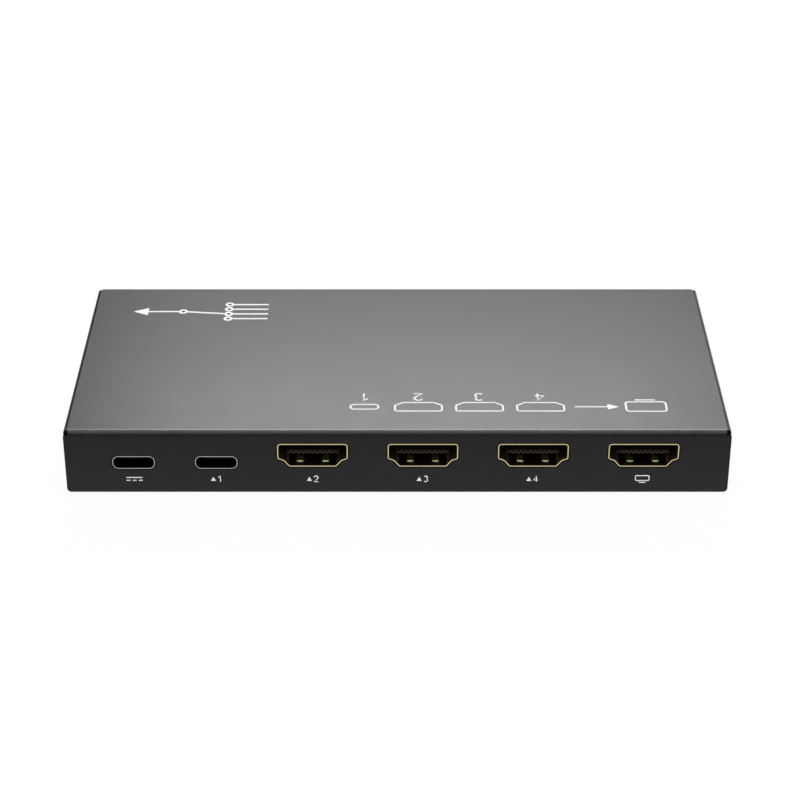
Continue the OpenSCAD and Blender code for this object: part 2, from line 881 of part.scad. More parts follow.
// Snap dome under the plunger
module switch_dome() {
    base_r = plunger_collar_r;
    cap_r = (base_r * base_r + dome_rise * dome_rise) / (2 * dome_rise);
    color("#d9c27a")
        translate([button_x, housing_front - well_depth, axis_z])
            rotate([-90, 0, 0])
                rotate_extrude()
                    intersection() {
                        translate([0, dome_rise - cap_r])
                            difference() {
                                circle(cap_r + dome_t, $fn = 200);
                                circle(cap_r, $fn = 200);
                            }
                        square([base_r, dome_rise + dome_t]);
                    }
}

// Plunger of the push switch, with the collar that bears on the dome
module switch_plunger() {
    color("#e4e4e0")
        translate([button_x, 0, axis_z]) {
            pin_y(plunger_r, collar_back, plunger_tip - collar_back);
            pin_y(plunger_collar_r, collar_back, plunger_collar_t);
        }
}

// Round select button: a cap through the wall, a collar behind it and a stem on the plunger
module select_button() {
    color("#1c1c1e")
        translate([button_x, 0, axis_z])
            rotate([-90, 0, 0])
                rotate_extrude()
                    polygon([
                        [0, plunger_tip],
                        [stem_r, plunger_tip],
                        [stem_r, collar_front - button_collar_t],
                        [button_collar_r, collar_front - button_collar_t],
                        [button_collar_r, collar_front],
                        [button_r, collar_front],
                        [button_r, front_y + button_out - 0.3],
                        [button_r - 0.3, front_y + button_out],
                        [0, front_y + button_out]
                    ]);
}

// Clear light pipe from a light on the board to the control wall
module light_pipe(x) {
    color("#dfe6ea")
        translate([x, 0, axis_z])
            rotate([-90, 0, 0])
                rotate_extrude()
                    polygon([
                        [0, board_front],
                        [pipe_r, board_front],
                        [pipe_r, wall_back - pipe_collar_t],
                        [pipe_collar_r, wall_back - pipe_collar_t],
                        [pipe_collar_r, wall_back],
                        [pipe_r, wall_back],
                        [pipe_r, front_y + pipe_out / 2],
                        [pipe_r - pipe_out / 2, front_y + pipe_out],
                        [0, front_y + pipe_out]
                    ]);
}

// Lights in upright holders at the edge of the board, one behind each pipe
module status_leds() {
    color("#e9e6d8")
        for (x = light_places)
            translate([x - led_w / 2, board_front - led_d, board_top])
                cube([led_w, led_d, led_h]);
}

// Infrared receiver standing on the board, with a lens that looks out through its window
module remote_receiver() {
    color("#151517")
        translate([eye_x, 0, board_top]) {
            translate([-eye_w / 2, eye_front - eye_d, 0])
                cube([eye_w, eye_d, eye_h]);
            translate([0, eye_front, axis_h])
                sphere(eye_lens_r);
            for (x = eye_pins)
                translate([x, eye_pin_y, -(board_t + leg_out) / 2])
                    cube([eye_pin_w, eye_pin_w, board_t + leg_out + over], center = true);
        }
}

// Dark window in front of the remote eye
module remote_window() {
    color("#3a0d12")
        translate([eye_x, 0, axis_z]) {
            pin_y(window_r, wall_back - window_rim_t, window_rim_t + sheet);
            pin_y(window_rim_r, wall_back - window_rim_t, window_rim_t);
        }
}

// Flat part of an end wall below the folds, as wide as the case
module end_wall(y) {
    translate([0, y, floor_z])
        deep(sheet)
            wall_face(case_w, case_h - bend_r - shoulder_drop, corner_r, shoulder_r);
}

// Top, ends and sides folded from one sheet, with a relief notch at each corner
module pan() {
    translate([0, 0, floor_z])
        wide(case_w - 2 * bend_r - 2 * relief_w)
            translate([mid_y, 0])
                folded_section(case_d, case_h);
    translate([0, rear_y + sheet + seam, floor_z])
        deep(case_d - 2 * sheet - 2 * seam)
            folded_section(case_w, case_h);
    end_wall(rear_y);
    end_wall(wall_back);
}

// Opening in a side wall around the fold of a fixing tab
module tab_window(place) {
    size_z = plate_t + bend_r + tab_slot + over;
    translate([sign(place.x) * side_x, place.y, floor_z - over + size_z / 2])
        cube([4 * sheet, window_w, size_z], center = true);
}

// Section of a fixing tab at the right-hand wall: a stub of the wall, the fold and the tab itself
module tab_section() {
    translate([side_x - sheet, plate_top + bend_r])
        square([sheet, tab_slot + over]);
    translate([side_x - bend_r, plate_top + bend_r])
        intersection() {
            difference() {
                circle(bend_r);
                circle(fold_r);
            }
            translate([0, -bend_r])
                square(bend_r);
        }
    translate([side_x - tab_reach, plate_top])
        square([tab_reach - bend_r, sheet]);
}

// Folded cover: top, ports wall, control wall, side walls and four fixing tabs in one piece
module top_cover() {
    color("#3d3e41")
        difference() {
            union() {
                difference() {
                    pan();
                    for (p = case_screw_places)
                        tab_window(p);
                }
                for (p = case_screw_places)
                    translate([0, p.y - tab_w / 2, 0])
                        mirror([p.x < 0 ? 1 : 0, 0, 0])
                            deep(tab_w)
                                tab_section();
            }
            for (p = case_screw_places)
                translate([p.x, p.y, plate_top - over])
                    cylinder(r = screw_r + press_gap, h = sheet + 2 * over);
            for (x = video_places)
                translate([x, rear_y - over, video_z])
                    deep(sheet + 2 * over)
                        video_outline(cutout_gap);
            for (x = oval_places)
                translate([x, rear_y - over, oval_z])
                    deep(sheet + 2 * over)
                        oval_outline(cutout_gap);
            translate([button_x, 0, axis_z])
                pin_y(button_r + slide_gap, wall_back - over, sheet + 2 * over);
            for (x = light_places)
                translate([x, 0, axis_z])
                    pin_y(pipe_r + insert_gap, wall_back - over, sheet + 2 * over);
            translate([eye_x, 0, axis_z])
                pin_y(window_r + insert_gap, wall_back - over, sheet + 2 * over);
        }
}

// Flat-head screws that hold the bottom plate against the cover's tabs
module case_screws() {
    color("#47484b")
        for (p = case_screw_places)
            translate([p.x, p.y, floor_z])
                screw(case_screw_l, case_head_h);
}

bottom_plate();
rubber_foot(foot_places[0]);  // rubber_foot_1
rubber_foot(foot_places[1]);  // rubber_foot_2
rubber_foot(foot_places[2]);  // rubber_foot_3
rubber_foot(foot_places[3]);  // rubber_foot_4
board_standoffs();
circuit_board();
board_screws();
oval_shell(oval_places[0]);  // power_shell
oval_tongue(oval_places[0]);  // power_tongue
oval_contact_set(oval_places[0]);  // power_contacts
oval_shell(oval_places[1]);  // input_1_shell
oval_tongue(oval_places[1]);  // input_1_tongue
oval_contact_set(oval_places[1]);  // input_1_contacts
video_shell(video_places[0]);  // input_2_shell
video_tongue(video_places[0]);  // input_2_tongue
video_contact_set(video_places[0]);  // input_2_contacts
video_shell(video_places[1]);  // input_3_shell
video_tongue(video_places[1]);  // input_3_tongue
video_contact_set(video_places[1]);  // input_3_contacts
video_shell(video_places[2]);  // input_4_shell
video_tongue(video_places[2]);  // input_4_tongue
video_contact_set(video_places[2]);  // input_4_contacts
video_shell(video_places[3]);  // output_shell
video_tongue(video_places[3]);  // output_tongue
video_contact_set(video_places[3]);  // output_contacts
switch_chip();
controller_chip();
converter_chips();
power_inductors();
capacitors();
crystal();
switch_housing();
switch_frame();
switch_dome();
switch_plunger();
select_button();
light_pipe(light_places[0]);  // input_light_1
light_pipe(light_places[1]);  // input_light_2
light_pipe(light_places[2]);  // input_light_3
light_pipe(light_places[3]);  // input_light_4
light_pipe(light_places[4]);  // power_light
status_leds();
remote_receiver();
remote_window();
top_cover();
case_screws();
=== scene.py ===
import math

import bmesh
import bpy
from mathutils import Matrix, Vector


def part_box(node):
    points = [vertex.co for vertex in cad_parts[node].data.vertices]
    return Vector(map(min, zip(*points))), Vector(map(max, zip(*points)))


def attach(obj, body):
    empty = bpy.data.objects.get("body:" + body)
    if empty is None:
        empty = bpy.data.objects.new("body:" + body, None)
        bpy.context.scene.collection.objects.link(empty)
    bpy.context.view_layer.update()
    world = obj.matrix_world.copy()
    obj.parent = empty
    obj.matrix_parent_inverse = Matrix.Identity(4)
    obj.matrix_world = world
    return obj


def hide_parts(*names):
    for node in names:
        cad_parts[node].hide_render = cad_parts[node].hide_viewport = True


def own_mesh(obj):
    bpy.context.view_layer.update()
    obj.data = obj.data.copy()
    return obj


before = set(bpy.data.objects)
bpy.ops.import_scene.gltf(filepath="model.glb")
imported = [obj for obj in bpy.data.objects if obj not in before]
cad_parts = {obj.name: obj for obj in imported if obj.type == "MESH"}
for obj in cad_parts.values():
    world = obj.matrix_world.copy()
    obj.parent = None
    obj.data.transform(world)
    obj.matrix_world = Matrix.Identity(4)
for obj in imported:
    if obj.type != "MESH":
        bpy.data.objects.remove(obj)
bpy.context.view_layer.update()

# Viewpoint. The box is seen from its ports side and from above, through a long lens
# that keeps its edges nearly parallel. The sight line meets the top of the cover
# a little behind the ports wall.
mm = 0.001
cover_low, cover_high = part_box("top_cover")
view_fall = math.radians(30)
sight_length = 475.8 * mm
sight_inset = 13.35 * mm
picture_width = 800
left_of_centre = 2.7
sight = Vector((0, cover_low.y + sight_inset, cover_high.z))
ahead = Vector((0, math.cos(view_fall), -math.sin(view_fall)))
lens = bpy.data.cameras.new("long_lens")
lens.lens = 100
lens.sensor_width = 36
lens.shift_x = left_of_centre / picture_width
lens.clip_start = 0.01
camera = bpy.data.objects.new("camera", lens)
camera.location = sight - ahead * sight_length
camera.rotation_euler = (math.pi / 2 - view_fall, 0, 0)
bpy.context.scene.collection.objects.link(camera)
bpy.context.scene.camera = camera


# Bottom plate. A flat steel sheet, cut and drilled, with a fine matt powder coating.
# It lies inside the folded cover, and its four ears fill the windows under the tabs.
class Strand:
    """A socket in a finish's node tree. Arithmetic on it adds Math nodes."""

    def __init__(self, tree, socket=None):
        self.tree = tree
        self.socket = socket

    def node(self, kind, settings=None, sockets=None, output=0):
        """Adds a node: its settings first, then the values or strands of its input sockets."""
        made = self.tree.nodes.new("ShaderNode" + kind)
        for key, value in (settings or {}).items():
            setattr(made, key, value)
        for key, value in (sockets or {}).items():
            if isinstance(value, Strand):
                self.tree.links.new(value.socket, made.inputs[key])
            else:
                made.inputs[key].default_value = value
        return Strand(self.tree, made.outputs[output])

    def maths(self, operation, first, second):
        return self.node("Math", {"operation": operation}, {0: first, 1: second})

    def __add__(self, other):
        return self.maths("ADD", self, other)

    def __radd__(self, other):
        return self.maths("ADD", other, self)

    def __sub__(self, other):
        return self.maths("SUBTRACT", self, other)

    def __rsub__(self, other):
        return self.maths("SUBTRACT", other, self)

    def __mul__(self, other):
        return self.maths("MULTIPLY", self, other)

    def __rmul__(self, other):
        return self.maths("MULTIPLY", other, self)


def new_finish(name, metallic=0.0, specular=0.5, **fixed):
    """A material with its shader's constant sockets set.

    Gives the material, its shader and object coordinates.
    """
    finish = bpy.data.materials.new(name)
    finish.use_nodes = True
    tree = finish.node_tree
    shader = tree.nodes["Principled BSDF"]
    shader.inputs["Metallic"].default_value = metallic
    shader.inputs["Specular IOR Level"].default_value = specular
    for key, value in fixed.items():
        shader.inputs[key.replace("_", " ")].default_value = value
    place = Strand(tree).node("TexCoord", output="Object")
    return finish, shader, place


def feed(shader, **strands):
    """Links strands to the shader's sockets."""
    for key, strand in strands.items():
        strand.tree.links.new(strand.socket, shader.inputs[key.replace("_", " ")])


def noise(place, grain, detail=3.0, roughness=0.55):
    """Noise whose cells are about one grain wide, in metres."""
    return place.node("TexNoise", {"noise_dimensions": "3D"}, {
        "Vector": place, "Scale": 1 / grain, "Detail": detail, "Roughness": roughness}, "Fac")


def between(mask, low, high):
    """Colour from low to high, each a colour or a strand, as the mask goes from 0 to 1."""
    low, high = [end if isinstance(end, Strand) else (*end, 1) for end in (low, high)]
    return mask.node("Mix", {"data_type": "RGBA"}, {"Factor": mask, 6: low, 7: high}, 2)


def ramp(value, start, end):
    """Mask that goes from 0 to 1 as the value goes from start to end."""
    return value.node("MapRange", {"clamp": True}, {"Value": value, "From Min": start, "From Max": end})


def relief(height, strength, depth):
    """Surface normal of a height field, depth in metres."""
    return height.node("Bump", None, {
        "Height": height, "Strength": strength, "Distance": depth}, "Normal")


def powder_coating(name, dark, light, gloss):
    """Fine matt powder coating: a pebbled skin with a faint cloudy flow. Also gives its colour."""
    finish, shader, place = new_finish(name, specular=0.16)
    pebbles = noise(place, 0.22 * mm, 2.0)
    flow = noise(place, 9 * mm, 2.0)
    colour = between(flow * 0.6 + pebbles * 0.4, dark, light)
    feed(shader,
         Base_Color=colour,
         Roughness=gloss + 0.05 * flow + 0.05 * pebbles,
         Normal=relief(pebbles, 0.25, 0.01 * mm))
    return finish, shader, place, colour


def dress(finish, *names):
    """Gives CAD nodes their finish."""
    for name in names:
        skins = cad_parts[name].data.materials
        skins.clear()
        skins.append(finish)


plate_coat = powder_coating("plate_coating", (0.008, 0.008, 0.008), (0.013, 0.013, 0.013), 0.4)[0]
dress(plate_coat, "bottom_plate")

# Rubber feet. Four moulded discs of soft black rubber with a rounded lower edge,
# stuck under the bottom plate so that the box doesn't slide.
foot_rubber, shader, place = new_finish("foot_rubber", specular=0.35)
grain = noise(place, 0.15 * mm)
dust = noise(place, 2.5 * mm, 4.0)
feed(shader,
     Base_Color=between(dust, (0.012, 0.012, 0.012), (0.024, 0.024, 0.023)),
     Roughness=0.68 + 0.2 * dust,
     Normal=relief(grain, 0.5, 0.02 * mm))
dress(foot_rubber, *[f"rubber_foot_{n}" for n in range(1, 5)])


# Standoffs and board screws. Turned steel with zinc plating, pressed into the bottom
# plate or driven into the standoffs, with fine handling marks.
def plated_metal(name, dark, light, gloss):
    """Plated metal with handling marks and an uneven shine. Also gives its colour and roughness."""
    finish, shader, place = new_finish(name, metallic=1.0)
    marks = noise(place, 0.3 * mm, 5.0, 0.65)
    cloud = noise(place, 3 * mm, 2.0)
    colour = between(cloud, dark, light)
    roughness = gloss + 0.12 * marks
    feed(shader,
         Base_Color=colour,
         Roughness=roughness,
         Normal=relief(marks, 0.12, 0.004 * mm))
    return finish, shader, place, colour, roughness


zinc = plated_metal("zinc_plating", (0.50, 0.51, 0.53), (0.62, 0.62, 0.63), 0.24)[0]
dress(zinc, "board_standoffs", "board_screws")

# Circuit board. Glass-fibre laminate under a green solder mask, with copper tracks
# that show through the mask as slightly paler, raised lines.
board_mask, shader, place = new_finish("board_mask")
weave = noise(place, 0.5 * mm)
turned = place.node("Mapping", {"vector_type": "POINT"}, {
    "Vector": place, "Rotation": (0, 0, math.radians(45))})
waves = turned.node("TexWave", {"wave_type": "BANDS", "bands_direction": "X", "wave_profile": "SIN"}, {
    "Vector": turned, "Scale": 160.0, "Distortion": 6.0, "Detail": 1.0, "Detail Scale": 0.4}, "Fac")
copper = ramp(waves, 0.62, 0.7)
feed(shader,
     Base_Color=between(copper, (0.008, 0.050, 0.022), (0.020, 0.110, 0.045)),
     Roughness=0.28 + 0.12 * weave,
     Normal=relief(copper, 0.4, 0.03 * mm))
dress(board_mask, "circuit_board")

# Parts on the board. Chips of moulded black resin, coils of dark ferrite, capacitors
# and a crystal in bare metal cans, all soldered down.
resin, shader, place = new_finish("chip_resin", specular=0.4)
speck = noise(place, 0.08 * mm)
feed(shader,
     Base_Color=between(speck, (0.010, 0.010, 0.011), (0.024, 0.024, 0.025)),
     Roughness=0.5 + 0.15 * speck,
     Normal=relief(speck, 0.3, 0.01 * mm))
dress(resin, "switch_chip", "controller_chip", "converter_chips")
ferrite = plated_metal("ferrite", (0.045, 0.045, 0.048), (0.075, 0.075, 0.08), 0.55)[0]
dress(ferrite, "power_inductors")
can_metal = plated_metal("can_aluminium", (0.55, 0.56, 0.57), (0.66, 0.66, 0.67), 0.3)[0]
dress(can_metal, "capacitors", "crystal")

# Oval sockets. A drawn shell of nickel-plated steel round a thin black tongue with
# rows of grey plated contacts on both faces, all soldered to the edge of the board.
mouth_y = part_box("power_shell")[0].y
rim_unshaded_to = 0.06 * mm
shade_full_from = 0.14 * mm
painted_shade_steel = (0.03, 0.03, 0.03)


def mouth_depth(place):
    """Distance behind the mouths of the sockets."""
    return place.node("SeparateXYZ", None, {"Vector": place}, "Y") - mouth_y


nickel, shader, place, colour = plated_metal(
    "nickel_plating", (0.34, 0.34, 0.35), (0.42, 0.42, 0.43), 0.16)[:4]
# Painted shade: behind its rim the inside of the shell is painted nearly black.
behind_rim = ramp(mouth_depth(place), rim_unshaded_to, shade_full_from)
feed(shader, Base_Color=between(behind_rim, colour, painted_shade_steel))
dress(nickel, "power_shell", "input_1_shell")
contact_plating = plated_metal("contact_plating", (0.10, 0.095, 0.085), (0.15, 0.14, 0.12), 0.30)[0]
socket_names = ("power", "input_1", "input_2", "input_3", "input_4", "output")
dress(contact_plating, *[f"{name}_contacts" for name in socket_names])
socket_resin, shader, place = new_finish("socket_resin", specular=0.25)
mould = noise(place, 0.2 * mm)
feed(shader,
     Base_Color=between(mould, (0.014, 0.006, 0.003), (0.022, 0.011, 0.006)),
     Roughness=0.5 + 0.2 * mould)
dress(socket_resin, *[f"{name}_tongue" for name in socket_names])

# Wide video sockets. A folded shell round a black insulator and two rows of contacts, plated
# in pale gold. Its rim keeps that colour; behind it the inside is painted dark as shade, darkest
# near its floor, and the crests of its spring fingers carry a painted highlight at part strength.
shell_height = 5.55 * mm
finger_tip_height = 0.36 * mm
finger_tip_depth = 0.85 * mm
crest_top = 1.0 * mm
crest_painted_light = 0.45
dull_roughness = 0.3
floor_shade_gold = (0.035, 0.018, 0.008)
wall_shade_gold = (0.16, 0.105, 0.055)
shell_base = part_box("input_2_shell")[1].z - shell_height
pale_gold, shader, place, colour, roughness = plated_metal(
    "pale_gold_plating", (0.60, 0.52, 0.28), (0.70, 0.61, 0.35), 0.14)
depth = mouth_depth(place)
above_base = place.node("SeparateXYZ", None, {"Vector": place}, "Z") - shell_base
# Painted light: the rim keeps the gold, the finger crests get a painted highlight, and the rest of the inside
# is painted shade.
rim = 1 - ramp(depth, rim_unshaded_to, shade_full_from)
behind_tip = ramp(depth, finger_tip_depth, finger_tip_depth + 0.05 * mm)
above_tip = ramp(above_base, finger_tip_height, finger_tip_height + 0.03 * mm)
crest = behind_tip * above_tip * (1 - ramp(above_base, crest_top, crest_top + 0.1 * mm))
# Painted shade inside the shell, darkest near its floor.
painted_shade_gold = between(ramp(above_base, 0.3 * mm, 1.5 * mm), floor_shade_gold, wall_shade_gold)
feed(shader,
     Base_Color=between(rim + crest_painted_light * crest, painted_shade_gold, colour),
     Roughness=roughness + dull_roughness * (1 - rim))
dress(pale_gold, *[f"{name}_shell" for name in socket_names[2:]])

# Push switch. A gold-plated snap dome under a white plunger in a black housing, held
# by a bent steel frame that is soldered to the board. The dome is pressed from thin
# spring sheet that gives way under the plunger; it stands on its rim in the well and is built in its resting
# shape.
dress(socket_resin, "switch_housing")
dress(zinc, "switch_frame")
dome_sheet = 0.12 * mm
dome_steps = 16
dome_segments = 64
dome_low, dome_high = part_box("switch_dome")
dome_seat = Vector(((dome_low.x + dome_high.x) / 2, dome_low.y, (dome_low.z + dome_high.z) / 2))
dome_rim = (dome_high.x - dome_low.x) / 2
dome_rise = dome_high.y - dome_low.y - dome_sheet
dome_bend = (dome_rim ** 2 + dome_rise ** 2) / (2 * dome_rise)
across_dome = [dome_rim * n / dome_steps for n in range(dome_steps + 1)]


def dome_side(bend):
    """Points on one side of the dome's sheet, from its middle to its rim."""
    return [(x, dome_rise - dome_bend + math.sqrt(bend ** 2 - x ** 2)) for x in across_dome]


pressing = bmesh.new()
outline = dome_side(dome_bend) + dome_side(dome_bend + dome_sheet)[::-1]
section = [pressing.verts.new(dome_seat + Vector((x, y, 0))) for x, y in outline]
section += [pressing.edges.new(ends) for ends in zip(section, section[1:])]
bmesh.ops.spin(pressing, geom=section, cent=dome_seat, axis=(0, 1, 0), angle=2 * math.pi,
               steps=dome_segments)
bmesh.ops.remove_doubles(pressing, verts=pressing.verts, dist=0.0005 * mm)
bmesh.ops.recalc_face_normals(pressing, faces=pressing.faces)
dome_mesh = bpy.data.meshes.new("snap_dome")
pressing.to_mesh(dome_mesh)
pressing.free()
dome_mesh.shade_smooth()
dome_mesh.set_sharp_from_angle(angle=math.radians(40))
dome_mesh.materials.append(plated_metal("dome_gold", (0.62, 0.46, 0.20), (0.72, 0.56, 0.28), 0.22)[0])
snap_dome = bpy.data.objects.new("snap_dome", dome_mesh)
bpy.context.scene.collection.objects.link(snap_dome)
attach(snap_dome, "chassis")
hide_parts("switch_dome")
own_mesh(snap_dome)
white_plastic, shader, place = new_finish("white_plastic", specular=0.4)
feed(shader,
     Base_Color=between(noise(place, 1 * mm), (0.62, 0.62, 0.60), (0.72, 0.72, 0.70)),
     Roughness=0.4 + 0.1 * noise(place, 0.2 * mm))
dress(white_plastic, "switch_plunger")

# Select button. A round cap of satin black plastic with a collar behind the wall;
# it reaches out through the wall and rests on the plunger.
button_plastic, shader, place = new_finish("button_plastic")
spark = noise(place, 0.12 * mm, 2.0)
feed(shader,
     Base_Color=between(spark, (0.010, 0.010, 0.011), (0.018, 0.018, 0.019)),
     Roughness=0.34 + 0.1 * spark,
     Normal=relief(spark, 0.3, 0.006 * mm))
dress(button_plastic, "select_button")

# Lights and remote eye. Clear acrylic pipes lead the light of small white diodes to
# the control wall, and a dark red window covers the infrared receiver.
clear_acrylic, shader, place = new_finish("clear_acrylic", Transmission_Weight=0.75, IOR=1.49)
haze = noise(place, 0.4 * mm)
feed(shader,
     Base_Color=between(haze, (0.80, 0.83, 0.85), (0.88, 0.90, 0.91)),
     Roughness=0.12 + 0.1 * haze)
dress(clear_acrylic, *[f"input_light_{n}" for n in range(1, 5)], "power_light")
dress(white_plastic, "status_leds")
dark_window, shader, place = new_finish("dark_window")
feed(shader,
     Base_Color=between(noise(place, 0.6 * mm), (0.016, 0.003, 0.004), (0.028, 0.005, 0.006)),
     Roughness=0.06 + 0.06 * noise(place, 0.9 * mm))
dress(dark_window, "remote_window")
dress(resin, "remote_receiver")

# Folded cover. Top and four walls bent from one steel sheet, with relief notches at the
# corners, under the same fine matt coating, with light painted into its colour: painted light
# makes it paler towards the open side, a painted shade darkens the foot of the folds, and a
# painted highlight runs where the top meets the fold above the sockets.
fold_radius = 0.75 * mm
foot_edge, foot_width, foot_fade = 0.05 * mm, 0.2 * mm, 0.25 * mm
highlight_start, highlight_width = 0.06 * mm, 0.5 * mm
cover_coat, shader, place, colour = powder_coating(
    "cover_coating", (0.006, 0.006, 0.006), (0.0095, 0.0095, 0.0095), 0.26)
from_top = cover_high.z - place.node("SeparateXYZ", None, {"Vector": place}, "Z")
from_fold = place.node("SeparateXYZ", None, {"Vector": place}, "Y") - (cover_low.y + fold_radius)
# Painted light: paler from the top down towards the open side, standing in for the light that the floor
# throws on the lower walls.
colour = between(ramp(from_top, 1 * mm, 14 * mm), colour, (0.015, 0.015, 0.015))
# Painted shade: a dark line along the walls just below the foot of each fold.
below_fold = ramp(from_top, fold_radius - foot_edge, fold_radius + foot_edge)
below_foot = ramp(from_top, fold_radius + foot_width, fold_radius + foot_width + foot_fade)
colour = between(0.8 * below_fold * (1 - below_foot), colour, (0.001, 0.001, 0.001))
# Painted highlight: a bright, uneven line on the top along the fold above the sockets, fainter down the fold
# itself.
past_start = ramp(from_fold, highlight_start, highlight_start + 0.08 * mm)
past_end = ramp(from_fold, highlight_width - 0.1 * mm, highlight_width)
on_top = past_start * (1 - past_end) * (1 - ramp(from_top, 0.02 * mm, 0.05 * mm))
on_fold = (1 - ramp(from_fold, -0.05 * mm, 0)) * (1 - ramp(from_top, 0.2 * mm, 0.6 * mm))
painted_highlight = (on_top + 0.3 * on_fold) * (0.5 + noise(place, 2 * mm))
feed(shader, Base_Color=between(painted_highlight, colour, (0.1, 0.1, 0.1)))
dress(cover_coat, "top_cover")

# Markings. Thin white ink, pressed through a screen on the finished cover: numerals and
# plain signs under the sockets and the lights, and a selector sign and a legend on top.
white_ink, shader, place = new_finish("white_ink", specular=0.4)
ink_grain = noise(place, 0.12 * mm, 2.0)
feed(shader,
     Base_Color=between(ink_grain, (0.74, 0.74, 0.74), (0.90, 0.90, 0.90)),
     Roughness=0.45 + 0.2 * ink_grain,
     Normal=relief(ink_grain, 0.3, 0.006 * mm))
ink_height = 0.02 * mm

line_tree = bpy.data.node_groups.new("printed_line", "GeometryNodeTree")
line_tree.interface.new_socket("Paths", in_out="INPUT", socket_type="NodeSocketGeometry")
line_inputs = {
    name: line_tree.interface.new_socket(name, in_out="INPUT", socket_type="NodeSocketFloat").identifier
    for name in ("Line width", "Ink height", "Corner radius")}
line_tree.interface.new_socket("Print", in_out="OUTPUT", socket_type="NodeSocketGeometry")


def add_step(kind, settings=None, **links):
    """Adds a node to the line tree and links or sets its inputs."""
    step = line_tree.nodes.new(kind)
    for key, value in (settings or {}).items():
        setattr(step, key, value)
    for key, value in links.items():
        target = step.inputs[key.replace("_", " ")]
        if isinstance(value, bpy.types.NodeSocket):
            line_tree.links.new(value, target)
        else:
            target.default_value = value
    return step.outputs


entry = add_step("NodeGroupInput")
path = add_step("GeometryNodeMeshToCurve", Mesh=entry["Paths"])[0]
path = add_step("GeometryNodeFilletCurve", {"mode": "POLY"}, Curve=path, Count=6,
                Radius=entry["Corner radius"], Limit_Radius=True)[0]
path = add_step("GeometryNodeSetCurveNormal", {"mode": "Z_UP"}, Curve=path)[0]
strip = add_step("GeometryNodeCurvePrimitiveQuadrilateral", Width=entry["Line width"],
                 Height=entry["Ink height"])[0]
line = add_step("GeometryNodeCurveToMesh", Curve=path, Profile_Curve=strip, Fill_Caps=True)[0]
line = add_step("GeometryNodeRealizeInstances", Geometry=line)[0]
line = add_step("GeometryNodeSetMaterial", Geometry=line, Material=white_ink)[0]
add_step("NodeGroupOutput", Print=line)


def lines(paths, width, corner=0.0, closed=False):
    """Printed strokes along paths of points in the plane, in millimetres."""
    points, edges = [], []
    for path in paths:
        first = len(points)
        points += [(x * mm, y * mm, 0) for x, y in path]
        last = len(points) - 1
        edges += [(n, n + 1) for n in range(first, last)] + ([(last, first)] if closed else [])
    drawing = bpy.data.meshes.new("paths")
    drawing.from_pydata(points, edges, [])
    holder = bpy.data.objects.new("paths", drawing)
    stroke = holder.modifiers.new("line", "NODES")
    stroke.node_group = line_tree
    stroke_sizes = {"Line width": width * mm, "Ink height": ink_height, "Corner radius": corner * mm}
    for name, value in stroke_sizes.items():
        stroke[line_inputs[name]] = value
    bpy.context.scene.collection.objects.link(holder)
    mesh = bpy.data.meshes.new_from_object(holder.evaluated_get(bpy.context.evaluated_depsgraph_get()))
    holder.modifiers.clear()
    bpy.data.objects.remove(holder)
    return mesh


def patch(outline):
    """Filled printed shape with the given outline, counter-clockwise, in millimetres."""
    shape = bmesh.new()
    low = [shape.verts.new((x * mm, y * mm, -ink_height / 2)) for x, y in outline]
    high = [shape.verts.new((x * mm, y * mm, ink_height / 2)) for x, y in outline]
    shape.faces.new(low[::-1])
    shape.faces.new(high)
    for n in range(len(outline)):
        shape.faces.new((low[n - 1], low[n], high[n], high[n - 1]))
    mesh = bpy.data.meshes.new("patch")
    shape.to_mesh(mesh)
    shape.free()
    return mesh


def turn(radius, start, sweep, x=0.0, y=0.0, steps=24):
    """Points of an arc, angles in degrees."""
    angles = [math.radians(start + sweep * n / steps) for n in range(steps + 1)]
    return [(x + radius * math.cos(a), y + radius * math.sin(a)) for a in angles]


def arrow_head(x, y, length, spread, heading=90):
    """Filled triangle with its middle at x, y that points along a heading in degrees."""
    along = Vector((math.cos(math.radians(heading)), math.sin(math.radians(heading))))
    aside = along.orthogonal() * spread / 2
    tip = Vector((x, y)) + along * length / 2
    back = Vector((x, y)) - along * length / 2
    return patch([tip, back + aside, back - aside])


digit_strokes = {
    "1": [[(-0.24, 0.27), (0.06, 0.5), (0.06, -0.5)]],
    "2": [turn(0.29, 165, -205, 0, 0.21) + [(-0.3, -0.5), (0.32, -0.5)]],
    "3": [turn(0.235, 150, -240, 0, 0.265) + turn(0.265, 90, -240, 0, -0.235)],
    "4": [[(0.36, -0.2), (-0.34, -0.2), (0.14, 0.5), (0.14, -0.12)], [(0.14, -0.28), (0.14, -0.5)]],
}


def numeral(digit, height, width, x=0.0, y=0.0):
    """Printed digit of a given height with its middle at x, y."""
    strokes = [[(x + a * height, y + b * height) for a, b in stroke] for stroke in digit_strokes[digit]]
    return lines(strokes, width)


def screen_sign(width, height, stroke, x=0.0, y=0.0):
    """Outline of a screen on its stand."""
    w, h = width / 2, height / 2
    edge = [(x - w, y - h), (x + w, y - h), (x + w, y + h), (x - w, y + h)]
    stand = [(x - w / 2, y - h - 2 * stroke), (x + w / 2, y - h - 2 * stroke)]
    return [lines([edge], stroke, 0.2 * height, True), lines([stand], stroke)]


def stamp(name, shapes, origin, across, up):
    """Joins printed shapes to one piece and lays it on a face of the cover."""
    across, up = Vector(across), Vector(up)
    out = across.cross(up)
    turn_to_face = Matrix((across, up, out)).transposed().to_4x4()
    joined = bmesh.new()
    for shape in shapes:
        joined.from_mesh(shape)
        bpy.data.meshes.remove(shape)
    joined.transform(Matrix.Translation(Vector(origin) + out * ink_height / 2) @ turn_to_face)
    mesh = bpy.data.meshes.new(name)
    joined.to_mesh(mesh)
    joined.free()
    mesh.materials.append(white_ink)
    piece = bpy.data.objects.new(name, mesh)
    bpy.context.scene.collection.objects.link(piece)
    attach(piece, "chassis")


def middle_x(node):
    """Middle of a CAD node along the row of sockets."""
    low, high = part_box(node)
    return (low.x + high.x) / 2


